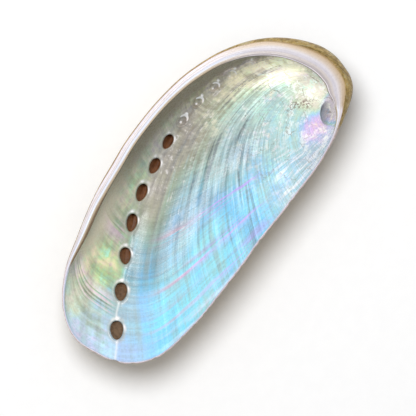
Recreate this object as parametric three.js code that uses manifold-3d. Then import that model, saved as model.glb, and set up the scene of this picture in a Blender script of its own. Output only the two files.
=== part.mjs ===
// An ass's-ear abalone shell (Haliotis asinina), empty, lying on its back with the aperture up.
//
// The shell is one piece. Its wall is a deep ear-shaped bowl that thickens on one side into the
// inner lip, a flat band along the +Y margin that widens round the spire at the +X end. The old
// whorls bulge out beyond that band. A row of breathing pores follows a spiral from the spire to
// a notch in the front margin: the seven nearest the front are open and the older ones are sealed.
//
// Frame: millimetres, +X towards the spire, +Y towards the inner lip, +Z up out of the aperture,
// origin on the table under the middle of the shell.
import * as THREE from "three";
import { mergeVertices, toCreasedNormals } from "three/addons/utils/BufferGeometryUtils.js";
import Module from "manifold-3d";

// Driving dimensions, mm.
const LENGTH = 90;
const FLOOR_DEPTH = 14.2; // from the level of the rim down to the pearly floor
const FLOOR_WALL = 1.35; // wall thickness at the floor
const FOOT_FLAT = 0.22; // how much of the back is worn flat where it touches the table
const OPEN_PORES = 7;
const SEALED_PORES = 5;

const HALF = LENGTH / 2;
const DEG = Math.PI / 180;
const POLE = new THREE.Vector2(9, 0.6); // the lowest point of the bowl
const APEX = new THREE.Vector2(33.2, -13.8); // the centre of the spire's spiral

// Mesh density: points round the rim, and rings across each surface.
const AROUND = 84;
const BOWL_RINGS = 15;
const FILLET_RINGS = 2;
const LIP_RINGS = 3;
const COLLAR_RINGS = 3;
const PORE_SIDES = 26;
// The sections stand closer together round the spire, where the outline turns fastest.
const CROWDING = 9;
const CROWDING_PHASE = 12;

// Each curve below runs round the rim: [degrees from +X, value].
// Silhouette of the shell from above, as a share of half its length.
const OUTLINE = [
  [0, 0.971], [8, 0.911], [16, 0.84], [26, 0.745], [38, 0.642], [54, 0.541], [72, 0.476],
  [90, 0.455], [110, 0.47], [130, 0.545], [146, 0.662], [158, 0.817], [168, 0.939],
  [176, 0.996], [184, 0.995], [192, 0.98], [202, 0.898], [214, 0.71], [228, 0.555],
  [246, 0.459], [268, 0.418], [290, 0.453], [308, 0.547], [322, 0.698], [332, 0.85],
  [340, 0.982], [348, 1.012], [354, 1.005],
];
// How far the lip's inner edge and its outer edge stand in from the silhouette, mm.
const LIP_INNER = [
  [6, 4.9], [22, 3.35], [42, 2.65], [75, 2.3], [110, 2.45], [142, 2.3], [150, 1.7], [158, 0.85],
  [168, 0.6], [182, 0.55], [210, 0.5], [260, 0.5], [300, 0.5], [318, 0.55], [326, 0.8], [332, 1.85],
  [335, 3.65], [338, 5.5], [342, 6.15], [348, 6.3], [356, 6.0],
];
const LIP_OUTER = [
  [2, 1.5], [8, 1.05], [14, 0.75], [24, 0.42], [40, 0.22], [80, 0.16], [150, 0.16], [220, 0.16],
  [300, 0.16], [326, 0.3], [330, 0.6], [333, 0.85], [336, 1.4], [340, 1.85], [348, 1.75],
  [355, 1.8],
];
// Level of the rim, and how far below it the widest part of the whorl's bulge lies, mm.
const RIM_LEVEL = [
  [0, 0.5], [40, 0.4], [90, 0], [140, -0.8], [175, -1.6], [200, -1.2], [240, -0.2], [280, 0],
  [320, -0.4], [340, 0.2],
];
const BULGE_DROP = [
  [0, 3.3], [14, 2.2], [40, 1.3], [90, 1.0], [140, 0.8], [165, 0.5], [190, 0.35], [250, 0.32],
  [310, 0.35], [328, 0.8], [338, 2.6], [349, 3.6],
];
// How wall-like each side is: 0 is a shallow dish that rises evenly, 1 is a floor and a wall.
const INNER_STEEPNESS = [
  [0, 0.7], [30, 0.78], [70, 0.85], [120, 0.75], [150, 0.5], [175, 0.12], [210, 0], [290, 0.05],
  [325, 0.38], [345, 0.64],
];
const OUTER_STEEPNESS = [
  [0, 0.75], [30, 0.8], [70, 0.85], [120, 0.75], [150, 0.5], [175, 0.12], [210, 0], [290, 0.05],
  [325, 0.45], [345, 0.72],
];
const WALL_UNDER_LIP = 1.5; // mm, below the lip's edge
const UNDERCUT = 0.62; // share of the rest of the lip's width that overhangs the bowl
const UNDERCUT_DROP = 1.2;
const LIP_CROWN = 0.22;

// The pore row: each pore lies a fixed ratio nearer the apex than the last, along a spiral.
const FIRST_PORE_RADIUS = 71.4;
const PORE_STEP = [-0.0992, -0.00086]; // natural logarithm of the radius, per pore and per pore squared
const ROW_TURN = [172.1 * DEG, 0.854, -0.226]; // angle about the apex against that logarithm
// The open pores from the front: length, width, the turn of the long axis against the row in
// degrees, how far the pore stands off the row's line towards the lip, and how far it runs
// towards the spire for each mm that it goes down.
const PORES = [
  [4.45, 3.1, 5, 0.1, 1.5],
  [4.35, 2.95, 5, 0, 1.5],
  [4.05, 2.65, 11, 0.35, 1.9],
  [4.4, 2.5, 4, 0.65, 2.0],
  [4.4, 2.45, 0, 0.6, 1.5],
  [4.0, 2.35, -1, 0.2, 1.5],
  [3.8, 2.2, 3, 0.1, 1.5],
];
const PORE_POINT = 0.14; // how much narrower than an oval the front end of a pore is
const PORE_TAPER = 0.24; // the share by which a pore narrows for each mm that it goes down
const PORE_ENTRY = 2; // how far the cut for a pore starts above the pearly side
const PORE_REACH = 3.8; // and how far below it the cut ends
const GUTTER_DEPTH = 0.75;
const KEEL_HEIGHT = 1.2; // of the ridge outside, along the same line
const GUTTER_WIDTH = 2.0;
const DIMPLE_DEPTH = 0.45; // of a sealed pore
const DIMPLE_REACH = 1.5;
const SPIRE_BULGE = 2.3;
const SPIRE_BULGE_WIDTH = 7;
const SPIRE_HOLLOW = 2.6;
const SPIRE_HOLLOW_WIDTH = 2.6;

// A closed curve of values round the rim, smooth through its knots.
function around(knots, degrees) {
  const n = knots.length;
  const at = (i) => {
    const [angle, value] = knots[((i % n) + n) % n];
    return [angle + 360 * Math.floor(i / n), value];
  };
  const turn = ((degrees % 360) + 360) % 360;
  let i = knots.findLastIndex(([angle]) => angle <= turn);
  const [[a0, v0], [a1, v1], [a2, v2], [a3, v3]] = [i - 1, i, i + 1, i + 2].map(at);
  const span = a2 - a1;
  const f = (turn - a1) / span;
  const m1 = ((v2 - v0) / (a2 - a0)) * span;
  const m2 = ((v3 - v1) / (a3 - a1)) * span;
  return (
    (2 * f ** 3 - 3 * f ** 2 + 1) * v1 +
    (f ** 3 - 2 * f ** 2 + f) * m1 +
    (3 * f ** 2 - 2 * f ** 3) * v2 +
    (f ** 3 - f ** 2) * m2
  );
}

function silhouette(degrees) {
  const r = around(OUTLINE, degrees) * HALF;
  return new THREE.Vector2(r * Math.cos(degrees * DEG), r * Math.sin(degrees * DEG));
}

// The silhouette moved in by a distance, square to the rim, and smoother the further in.
function inset(degrees, distance) {
  const step = 0.5 + 1.2 * distance;
  const along = silhouette(degrees + step).sub(silhouette(degrees - step)).normalize();
  return silhouette(degrees).add(new THREE.Vector2(-along.y, along.x).multiplyScalar(distance));
}

// The share of its full height that a bowl has climbed, at a share of the way out from its pole.
function climb(share, steepness) {
  const dish = share ** 2.1;
  const wall = 1 - Math.sqrt(Math.max(0, 1 - share ** 3));
  return dish + (wall - dish) * steepness;
}

// The angle about the apex at which the pore row crosses a given radius.
function rowAngle(logRadius) {
  return ROW_TURN[0] + ROW_TURN[1] * logRadius + ROW_TURN[2] * logRadius ** 2;
}

// A place on the row's line, counted in pores from the first.
function rowSpot(i) {
  const log = PORE_STEP[0] * i + PORE_STEP[1] * i * i;
  const radius = FIRST_PORE_RADIUS * Math.exp(log);
  const angle = rowAngle(log);
  const spot = APEX.clone();
  return spot.add(new THREE.Vector2(radius * Math.cos(angle), radius * Math.sin(angle)));
}

// The direction of the row at a pore, towards the spire.
const rowDirection = (i) => rowSpot(i + 0.5).sub(rowSpot(i - 0.5)).normalize();

// The middle of an open pore on the pearly side.
function poreSpot(i) {
  const aside = PORES[i][3];
  const along = rowDirection(i);
  return rowSpot(i).add(new THREE.Vector2(-along.y, along.x).multiplyScalar(aside));
}

function distanceFromRow(p) {
  const away = p.clone().sub(APEX);
  const radius = Math.max(away.length(), 1);
  const log = Math.log(radius / FIRST_PORE_RADIUS);
  let offset = Math.atan2(away.y, away.x) - rowAngle(log);
  offset -= 2 * Math.PI * Math.round(offset / (2 * Math.PI));
  const turnRate = ROW_TURN[1] + 2 * ROW_TURN[2] * log;
  return (offset * radius) / Math.hypot(1, turnRate);
}

const bell = (distance, width) => Math.exp(-((distance / width) ** 2));

// The line of the pore row: 1 on the line, fading to 0 on both sides and towards the spire.
function rowLine(p) {
  const fade = THREE.MathUtils.smoothstep(p.distanceTo(APEX), 14, 26);
  return fade * bell(distanceFromRow(p), GUTTER_WIDTH);
}

// Shallow dimples on the pearly side where the old pores are sealed.
function sealedPores(p) {
  let depth = 0;
  for (let i = OPEN_PORES; i < OPEN_PORES + SEALED_PORES; i++) {
    depth -= DIMPLE_DEPTH * bell(p.distanceTo(rowSpot(i)), DIMPLE_REACH);
  }
  return depth;
}

// How far out from the pole each ring of a bowl stands: closer together near the rim.
function ringShare(ring) {
  return Math.sin((ring / BOWL_RINGS) * 90 * DEG) ** 0.9;
}

// Relief fades out towards the rim, so that the lip stays plain.
const awayFromRim = (share) => 1 - share ** 8;

// One section of the wall at a rim angle: from the pole over the pearly side to the lip, over
// the lip and round the bulge, then back to the pole under the outside.
function section(degrees) {
  const steepInside = around(INNER_STEEPNESS, degrees);
  const steepOutside = around(OUTER_STEEPNESS, degrees);
  const level = around(RIM_LEVEL, degrees);
  const inner = around(LIP_INNER, degrees);
  const lipEdge = inset(degrees, inner);
  const overhang = UNDERCUT * Math.max(0, inner - WALL_UNDER_LIP);
  const wallTop = inset(degrees, inner - overhang);
  const collarTop = inset(degrees, around(LIP_OUTER, degrees));
  const widest = silhouette(degrees);
  const wallTopLevel = level - 0.1 - UNDERCUT_DROP * Math.max(0, steepInside);
  const widestLevel = level - around(BULGE_DROP, degrees);
  const points = [];
  const put = (p, z) => points.push(new THREE.Vector3(p.x, p.y, z));

  for (let ring = 1; ring <= BOWL_RINGS; ring++) {
    const share = ringShare(ring);
    const p = POLE.clone().lerp(wallTop, share);
    const rise = (wallTopLevel + FLOOR_DEPTH) * climb(share, steepInside);
    const fade = awayFromRim(share);
    const hollow = SPIRE_HOLLOW * bell(p.distanceTo(APEX), SPIRE_HOLLOW_WIDTH) * fade;
    const relief = (sealedPores(p) - GUTTER_DEPTH * rowLine(p)) * fade;
    put(p, -FLOOR_DEPTH + rise + relief - hollow);
  }
  for (let ring = 1; ring <= FILLET_RINGS; ring++) {
    const f = ring / FILLET_RINGS;
    put(wallTop.clone().lerp(lipEdge, f * f), THREE.MathUtils.lerp(wallTopLevel, level, f));
  }
  for (let ring = 1; ring <= LIP_RINGS; ring++) {
    const f = ring / LIP_RINGS;
    const crown = LIP_CROWN * Math.min(1, inner / 2) * Math.sin(f * 180 * DEG);
    put(lipEdge.clone().lerp(collarTop, f), level + crown);
  }
  for (let ring = 1; ring <= COLLAR_RINGS; ring++) {
    const f = (ring / COLLAR_RINGS) * 90 * DEG;
    const z = widestLevel + (level - widestLevel) * Math.cos(f);
    put(collarTop.clone().lerp(widest, Math.sin(f)), z);
  }
  const backLevel = -FLOOR_DEPTH - FLOOR_WALL;
  for (let ring = BOWL_RINGS - 1; ring >= 1; ring--) {
    const share = ringShare(ring);
    const p = POLE.clone().lerp(widest, share);
    const rise = (widestLevel - backLevel) * climb(share, steepOutside);
    const fade = awayFromRim(share);
    const bulge = SPIRE_BULGE * bell(p.distanceTo(APEX), SPIRE_BULGE_WIDTH);
    const relief = (KEEL_HEIGHT * rowLine(p) + bulge) * fade;
    put(p, Math.max(backLevel + rise - relief, backLevel + FOOT_FLAT));
  }
  return points;
}

// The closed wall before the pores are opened: the sections joined side by side.
function wallGeometry() {
  const sections = [];
  for (let i = 0; i < AROUND; i++) sections.push(section(rimAngle(i)));
  const rings = sections[0].length;
  const vertices = sections.flat();
  vertices.push(new THREE.Vector3(POLE.x, POLE.y, -FLOOR_DEPTH));
  vertices.push(new THREE.Vector3(POLE.x, POLE.y, -FLOOR_DEPTH - FLOOR_WALL + FOOT_FLAT));
  const [floorPole, backPole] = [AROUND * rings, AROUND * rings + 1];
  const faces = [];
  for (let i = 0; i < AROUND; i++) {
    const [a, b] = [i * rings, ((i + 1) % AROUND) * rings];
    faces.push(floorPole, a, b, a + rings - 1, backPole, b + rings - 1);
    for (let k = 0; k < rings - 1; k++) {
      faces.push(a + k, a + k + 1, b + k, b + k, a + k + 1, b + k + 1);
    }
  }
  return new THREE.BufferGeometry().setFromPoints(vertices).setIndex(faces);
}

function rimAngle(i) {
  const turn = (i / AROUND) * 360;
  return turn - CROWDING * Math.sin((turn + CROWDING_PHASE) * DEG);
}

// The solid that one open pore cuts out of the wall: an oval at the level of the pearly side,
// which runs straight up from there, and leans and narrows on the way down.
function poreGeometry(i, level) {
  const spot = poreSpot(i);
  const [long, wide, skew, , lean] = PORES[i];
  const turn = rowDirection(i).angle() + skew * DEG;
  const size = new THREE.Vector2(long / 2, wide / 2);
  const cut = new THREE.CylinderGeometry(1, 1, 2, PORE_SIDES, 2).rotateX(90 * DEG);
  const corners = cut.attributes.position;
  for (let k = 0; k < corners.count; k++) {
    const height = corners.getZ(k);
    const depth = height > 0 ? -height * PORE_ENTRY : -height * PORE_REACH;
    const below = Math.max(depth, 0);
    const p = new THREE.Vector2(corners.getX(k), corners.getY(k));
    p.y *= 1 + PORE_POINT * p.x;
    p.multiply(size).multiplyScalar(1 - PORE_TAPER * below);
    p.x += lean * below;
    p.rotateAround(new THREE.Vector2(), turn).add(spot);
    corners.setXYZ(k, p.x, p.y, level - depth);
  }
  return cut;
}

// The level of the pearly side under a point.
function floorLevel(wall, p) {
  const down = new THREE.Raycaster(new THREE.Vector3(p.x, p.y, HALF), new THREE.Vector3(0, 0, -1));
  return down.intersectObject(wall)[0].point.z;
}

// Booleans: a geometry as a manifold-3d solid, and back.
const wasm = await Module();
wasm.setup();
function solidOf(geometry) {
  const bare = geometry.clone();
  bare.deleteAttribute("normal");
  bare.deleteAttribute("uv");
  const merged = mergeVertices(bare, 1e-4);
  return new wasm.Manifold(
    new wasm.Mesh({
      numProp: 3,
      vertProperties: merged.attributes.position.array,
      triVerts: new Uint32Array(merged.index.array),
    }),
  );
}
function geometryOf(solid) {
  const { vertProperties, triVerts } = solid.getMesh();
  const geometry = new THREE.BufferGeometry();
  geometry.setAttribute("position", new THREE.BufferAttribute(vertProperties, 3));
  geometry.setIndex(new THREE.BufferAttribute(triVerts, 1));
  return geometry;
}

function shellGeometry() {
  const closed = new THREE.Mesh(wallGeometry());
  let wall = solidOf(closed.geometry);
  for (let i = 0; i < OPEN_PORES; i++) {
    wall = wall.subtract(solidOf(poreGeometry(i, floorLevel(closed, poreSpot(i)))));
  }
  const geometry = geometryOf(wall);
  geometry.computeBoundingBox();
  const { min, max } = geometry.boundingBox;
  geometry.translate(-(min.x + max.x) / 2, -(min.y + max.y) / 2, -min.z);
  return toCreasedNormals(geometry, 40 * DEG);
}

const nacre = new THREE.MeshStandardMaterial({ color: 0xb9dbe6, roughness: 0.22, metalness: 0.1 });
const shell = new THREE.Mesh(shellGeometry(), nacre);
shell.name = "shell";
const abalone = new THREE.Group();
abalone.add(shell);
export default abalone;
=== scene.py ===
"""An empty ass's-ear abalone shell, pearly side up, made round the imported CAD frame.

The shell is one mesh, built in millimetres from the same curves as the CAD solid but much finer,
then moved onto the CAD node's box. Every point knows its growth coordinates: its line, the
degrees round the spire from the pore row, and its age, how long before its death the shell laid
it down, as a logarithm of size (0 at the margin). Relief and markings follow those two.
"""
import math

import bpy
import mathutils
import numpy as np
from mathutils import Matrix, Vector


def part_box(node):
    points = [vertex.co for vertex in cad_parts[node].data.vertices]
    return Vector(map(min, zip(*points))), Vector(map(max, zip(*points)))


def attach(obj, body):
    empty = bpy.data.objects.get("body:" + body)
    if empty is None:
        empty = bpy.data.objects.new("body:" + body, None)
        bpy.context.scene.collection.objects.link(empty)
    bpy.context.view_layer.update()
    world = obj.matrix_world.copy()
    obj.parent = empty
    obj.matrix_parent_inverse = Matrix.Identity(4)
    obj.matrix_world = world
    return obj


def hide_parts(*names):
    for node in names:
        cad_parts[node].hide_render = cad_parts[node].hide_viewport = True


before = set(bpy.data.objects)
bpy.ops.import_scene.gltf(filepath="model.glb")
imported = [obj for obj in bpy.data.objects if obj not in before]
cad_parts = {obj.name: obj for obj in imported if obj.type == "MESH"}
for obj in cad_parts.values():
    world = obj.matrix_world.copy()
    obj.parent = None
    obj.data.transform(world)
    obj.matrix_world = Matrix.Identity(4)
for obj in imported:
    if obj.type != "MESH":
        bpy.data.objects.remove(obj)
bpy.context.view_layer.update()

# The solid's curves, mm and degrees from +X, as in the CAD model.
HALF = 45.0
FLOOR_DEPTH = 14.2
FLOOR_WALL = 1.35
FOOT_FLAT = 0.22
POLE = np.array([9.0, 0.6])
APEX = np.array([33.2, -13.8])
OPEN_PORES = 7
SEALED_PORES = 5
OUTLINE = [
    (0, 0.971), (8, 0.911), (16, 0.84), (26, 0.745), (38, 0.642), (54, 0.541), (72, 0.476),
    (90, 0.455), (110, 0.47), (130, 0.545), (146, 0.662), (158, 0.817), (168, 0.939),
    (176, 0.996), (184, 0.995), (192, 0.98), (202, 0.898), (214, 0.71), (228, 0.555),
    (246, 0.459), (268, 0.418), (290, 0.453), (308, 0.547), (322, 0.698), (332, 0.85),
    (340, 0.982), (348, 1.012), (354, 1.005),
]
LIP_INNER = [
    (6, 4.9), (22, 3.35), (42, 2.65), (75, 2.3), (110, 2.45), (142, 2.3), (150, 1.7), (158, 0.85),
    (168, 0.6), (182, 0.55), (210, 0.5), (260, 0.5), (300, 0.5), (318, 0.55), (326, 0.8), (332, 1.85),
    (335, 3.65), (338, 5.5), (342, 6.15), (348, 6.3), (356, 6.0),
]
LIP_OUTER = [
    (2, 1.5), (8, 1.05), (14, 0.75), (24, 0.42), (40, 0.22), (80, 0.16), (150, 0.16), (220, 0.16),
    (300, 0.16), (326, 0.3), (330, 0.6), (333, 0.85), (336, 1.4), (340, 1.85), (348, 1.75),
    (355, 1.8),
]
RIM_LEVEL = [
    (0, 0.5), (40, 0.4), (90, 0), (140, -0.8), (175, -1.6), (200, -1.2), (240, -0.2), (280, 0),
    (320, -0.4), (340, 0.2),
]
BULGE_DROP = [
    (0, 3.3), (14, 2.2), (40, 1.3), (90, 1.0), (140, 0.8), (165, 0.5), (190, 0.35), (250, 0.32),
    (310, 0.35), (328, 0.8), (338, 2.6), (349, 3.6),
]
INNER_STEEPNESS = [
    (0, 0.7), (30, 0.78), (70, 0.85), (120, 0.75), (150, 0.5), (175, 0.12), (210, 0), (290, 0.05),
    (325, 0.38), (345, 0.64),
]
OUTER_STEEPNESS = [
    (0, 0.75), (30, 0.8), (70, 0.85), (120, 0.75), (150, 0.5), (175, 0.12), (210, 0), (290, 0.05),
    (325, 0.45), (345, 0.72),
]
WALL_UNDER_LIP = 1.5
UNDERCUT = 0.62
UNDERCUT_DROP = 1.2
LIP_CROWN = 0.22
FIRST_PORE_RADIUS = 71.4
PORE_STEP = (-0.0992, -0.00086)
ROW_TURN = (math.radians(172.1), 0.854, -0.226)
# The pores from the front, the sealed ones last: length, width, the turn of the long axis against
# the row in degrees, how far the pore stands off the row's line towards the lip, and how far it
# runs towards the spire for each mm that it goes down.
PORES = np.array([
    (4.45, 3.1, 5, 0.1, 1.5), (4.35, 2.95, 5, 0, 1.5), (4.05, 2.65, 11, 0.35, 1.9),
    (4.4, 2.5, 4, 0.65, 2.2), (4.4, 2.45, 0, 0.6, 1.5), (4.0, 2.35, -1, 0.2, 1.5),
    (3.8, 2.2, 3, 0.1, 1.5), (3.5, 2.2, -2, 0, 0), (3.2, 2.1, -8, 0, 0), (3.0, 2.0, -11, 0, 0),
    (2.8, 1.9, -11, 0, 0), (2.6, 1.8, -11, 0, 0),
])
PORE_POINT = 0.14  # how much narrower than an oval the front end of a pore is
PORE_TAPER = 0.24  # the share by which a pore narrows for each mm that it goes down
GUTTER_DEPTH, KEEL_HEIGHT, GUTTER_WIDTH = 0.75, 1.2, 2.0
SPIRE_BULGE, SPIRE_BULGE_WIDTH = 2.3, 7.0
SPIRE_HOLLOW, SPIRE_HOLLOW_WIDTH = 1.3, 2.6

# Relief that is too fine for the CAD solid, mm.
RIDGE_HEIGHT = 0.12  # the wavy ridges that fan out from the spire
STREAK_HEIGHT = 0.02
GROWTH_HEIGHT = 0.02
ROW_RIB_HEIGHT, ROW_RIB_WIDTH, ROW_RIB_SWAY = 0.14, 0.24, 0.7  # the rib that links the pores
LIP_LINE_HEIGHT = 0.05
BEAD_HEIGHT = 0.09  # along the lip's inner edge
CORD_HEIGHT = 0.07  # spiral cords on the back
COLLAR_HEIGHT, COLLAR_ROUNDING = 0.1, 0.34  # round an open pore
MOUTH_RIM, MOUTH_ROUNDING = 0.4, 0.25  # the same outside
SEALED_RING, SEALED_DEPTH, SEALED_DOME = 0.1, 0.75, 0.2
CHIP_DEPTH, CHIP_LENGTH = 0.2, 0.8
NOTCH_SPOT = np.array([-43.6, -7.9])  # where the pore row's groove leaves the front margin
NOTCH_DEPTH, NOTCH_WIDTH = 0.55, 1.0
PIT_SPOT = np.array([33.0, -14.0])  # the pit at the centre of the spire
PIT_TURN = math.radians(36)
PIT_LONG, PIT_WIDE, PIT_DEPTH = 6.0, 3.3, 1.7
SEALED_SHARE = (1.0, 0.95, 0.75, 0.5, 0.35)  # how plain each sealed pore still is, youngest first
LATE_DRIFT = 0.05  # by how much the lines of growth far from the row count as older
FLATTENING = 0.05  # the room a wall takes outwards in its flat picture, for its height squared

# Mesh density.
AROUND = 640  # points round the rim, even
BOWL_RINGS = 72
BACK_RINGS = 34
FILLET_RINGS = 4
LIP_RINGS = 11
COLLAR_RINGS = 8
SPINE = np.array([[23.0, -2.5], [-25.0, -1.5]])  # the line on which both bowls' rings close up
PORE_AROUND = 44
# Each pore has its own finer mesh, in rings: 1 is the pore's edge, 2 is RING_GAP mm out from it.
RING_GAP = 1.5
PORE_SURROUND = 1.46
PORE_INSIDE = (1.36, 1.32, 1.27, 1.22, 1.17, 1.12, 1.08, 1.04, 1.01, 0.98)
MOUTH_SURROUND = 1.68
PORE_OUTSIDE = (1.6, 1.46, 1.33, 1.22, 1.12, 1.05, 1.0)
PORE_WALL = 5
FOLD_COST = 100.0  # mm of edge that a zip between two rings would rather add than fold over
SEALED_AROUND = 32
SEALED_SURROUND = 1.55
SEALED_RINGS = (1.36, 1.28, 1.2, 1.13, 1.06, 1.0, 0.93, 0.85, 0.75, 0.6, 0.42, 0.22)
PIT_AROUND = 52
PIT_SURROUND = 1.3
PIT_RINGS = (1.16, 1.12, 1.08, 1.04, 1.0, 0.96, 0.92, 0.87, 0.8, 0.7, 0.58, 0.44, 0.3, 0.15)


# ---------------------------------------------------------------- curves round the rim
def around(knots, degrees):
    """A closed curve of values round the rim, smooth through its knots."""
    angle, value = np.array(knots, float).T
    angle = np.concatenate([angle[-2:] - 360, angle, angle[:3] + 360])
    value = np.concatenate([value[-2:], value, value[:3]])
    turn = np.mod(degrees, 360)
    i = np.searchsorted(angle, turn, side="right") - 1
    i = np.clip(i, 1, len(angle) - 3)
    span = angle[i + 1] - angle[i]
    f = (turn - angle[i]) / span
    m1 = (value[i + 1] - value[i - 1]) / (angle[i + 1] - angle[i - 1]) * span
    m2 = (value[i + 2] - value[i]) / (angle[i + 2] - angle[i]) * span
    hold = (2 * f**3 - 3 * f**2 + 1) * value[i] + (3 * f**2 - 2 * f**3) * value[i + 1]
    return hold + (f**3 - 2 * f**2 + f) * m1 + (f**3 - f**2) * m2


def silhouette(degrees):
    r = around(OUTLINE, degrees) * HALF
    turn = np.radians(degrees)
    return np.stack([r * np.cos(turn), r * np.sin(turn)], -1)


def inset(degrees, distance):
    """The silhouette moved in by a distance, square to the rim, and smoother the further in."""
    distance = np.asarray(distance)
    step = 0.5 + 1.2 * distance
    moved = 0
    for side, weight in ((-1, 0.25), (0, 0.5), (1, 0.25)):
        at = degrees + side * 0.6 * distance
        along = silhouette(at + step) - silhouette(at - step)
        along /= np.linalg.norm(along, axis=-1, keepdims=True)
        inward = np.stack([-along[..., 1], along[..., 0]], -1)
        moved = moved + weight * (silhouette(at) + inward * distance[..., None])
    return moved


def rim_angles():
    """Rim angles, evenly spaced along the rim on each side from the spire end to the front."""
    fine = np.linspace(-4, 356, 7201)
    points = silhouette(fine)
    run = np.concatenate([[0], np.cumsum(np.linalg.norm(np.diff(points, axis=0), axis=1))])
    front = np.interp(182, fine, run)
    half = AROUND // 2
    columella = np.linspace(0, front, half, endpoint=False)
    outer_lip = np.linspace(front, run[-1], half, endpoint=False)
    return np.interp(np.concatenate([columella, outer_lip]), run, fine)


# ---------------------------------------------------------------- the bowl's two surfaces
def length(vectors):
    return np.linalg.norm(vectors, axis=-1)


def from_apex(xy):
    return length(xy - APEX)


def bell(distance, width):
    return np.exp(-((distance / width) ** 2))


def smoothstep(x, low, high):
    f = np.clip((x - low) / (high - low), 0, 1)
    return f * f * (3 - 2 * f)


def climb(share, steepness):
    """The share of its full height that a bowl has climbed, at a share of the way out."""
    dish = share**2.1
    wall = 1 - np.sqrt(np.maximum(0, 1 - share**3))
    return dish + (wall - dish) * steepness


FINE = np.linspace(0, 360, 3601)


def overhang(degrees):
    return UNDERCUT * np.maximum(0, around(LIP_INNER, degrees) - WALL_UNDER_LIP)


def wall_top(degrees):
    return inset(degrees, around(LIP_INNER, degrees) - overhang(degrees))


def wall_top_level(degrees):
    steep = around(INNER_STEEPNESS, degrees)
    return around(RIM_LEVEL, degrees) - 0.1 - UNDERCUT_DROP * np.maximum(0, steep)


def widest_level(degrees):
    return around(RIM_LEVEL, degrees) - around(BULGE_DROP, degrees)


def bearing_table(edge):
    """For a closed edge round the pole: bearing from the pole against rim angle, and reach."""
    away = edge(FINE) - POLE
    bearing = np.unwrap(np.arctan2(away[:, 1], away[:, 0]))
    return bearing, np.linalg.norm(away, axis=1)


INSIDE_EDGE = bearing_table(wall_top)
OUTSIDE_EDGE = bearing_table(silhouette)


def bowl_coordinates(xy, table):
    """The rim angle that each point lies towards, and its share of the way there."""
    bearing, reach = table
    away = xy - POLE
    toward = np.arctan2(away[..., 1], away[..., 0])
    toward = bearing[0] + np.mod(toward - bearing[0], 2 * math.pi)
    share = length(away) / np.interp(toward, bearing, reach)
    return np.interp(toward, bearing, FINE), np.clip(share, 0, 1)


def row_angle(log):
    return ROW_TURN[0] + ROW_TURN[1] * log + ROW_TURN[2] * log**2


def row_spot(i):
    """A place on the row's line, counted in pores from the first."""
    log = PORE_STEP[0] * i + PORE_STEP[1] * i * i
    turn = row_angle(log)
    return APEX + FIRST_PORE_RADIUS * math.exp(log) * np.array([math.cos(turn), math.sin(turn)])


def row_direction(i):
    along = row_spot(i + 0.5) - row_spot(i - 0.5)
    return along / np.linalg.norm(along)


def pore_spot(i):
    along = row_direction(i)
    return row_spot(i) + PORES[i, 3] * np.array([-along[1], along[0]])


def pore_axes(i):
    """A pore's long and short directions."""
    along = row_direction(i)
    return turned_axes(math.atan2(along[1], along[0]) + math.radians(PORES[i, 2]))


def pore_half_sizes(i):
    return PORES[i, :2] / 2


def oval(count, half_sizes, axes, point=0.0):
    """Points round an oval, as offsets from its middle."""
    turn = 2 * math.pi * np.arange(count) / count
    across = np.sin(turn) * (1 + point * np.cos(turn))
    return np.stack([np.cos(turn), across], -1) * half_sizes @ axes


def share_of_oval(xy, middle, half_sizes, axes):
    """How far from an oval's middle, where 1 is its edge."""
    return length((xy - middle) @ axes.T / half_sizes)


def turned_axes(turn):
    return np.array([[math.cos(turn), math.sin(turn)], [-math.sin(turn), math.cos(turn)]])


def polar_about_apex(xy):
    away = xy - APEX
    radius = np.maximum(length(away), 0.3)
    return np.log(radius / FIRST_PORE_RADIUS), np.arctan2(away[..., 1], away[..., 0])


def distance_from_row(xy):
    """Across the pore row, mm: positive on the bowl's side."""
    log, turn = polar_about_apex(xy)
    offset = turn - row_angle(log)
    offset -= 2 * math.pi * np.round(offset / (2 * math.pi))
    rate = ROW_TURN[1] + 2 * ROW_TURN[2] * log
    return offset * FIRST_PORE_RADIUS * np.exp(log) / np.hypot(1, rate)


def row_line(xy):
    """The line of the pore row: 1 on it, fading to 0 on both sides and towards the spire."""
    fade = smoothstep(from_apex(xy), 14, 26)
    return fade * bell(distance_from_row(xy), GUTTER_WIDTH)


def inside_rise(xy):
    """How high the pearly side has climbed above its lowest point, and its share of the way out."""
    degrees, share = bowl_coordinates(xy, INSIDE_EDGE)
    height = wall_top_level(degrees) + FLOOR_DEPTH
    return height * climb(share, around(INNER_STEEPNESS, degrees)), share


def outside_rise(xy):
    degrees, share = bowl_coordinates(xy, OUTSIDE_EDGE)
    height = widest_level(degrees) + FLOOR_DEPTH + FLOOR_WALL
    return height * climb(share, around(OUTER_STEEPNESS, degrees)), share


def inside_height(xy):
    rise, share = inside_rise(xy)
    reach = from_apex(xy)
    relief = fine_relief(xy) - GUTTER_DEPTH * row_line(xy)
    relief = relief - SPIRE_HOLLOW * bell(reach, SPIRE_HOLLOW_WIDTH)
    return -FLOOR_DEPTH + rise + relief * (1 - share**8)


def outside_height(xy):
    rise, share = outside_rise(xy)
    reach = from_apex(xy)
    relief = KEEL_HEIGHT * row_line(xy) + SPIRE_BULGE * bell(reach, SPIRE_BULGE_WIDTH)
    level = -FLOOR_DEPTH - FLOOR_WALL + rise - relief * (1 - share**8)
    cords = CORD_HEIGHT * back_cords(xy) * smoothstep(reach, 3, 9) * (1 - share**20)
    return np.maximum(level - cords, -FLOOR_DEPTH - FLOOR_WALL + FOOT_FLAT)


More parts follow.
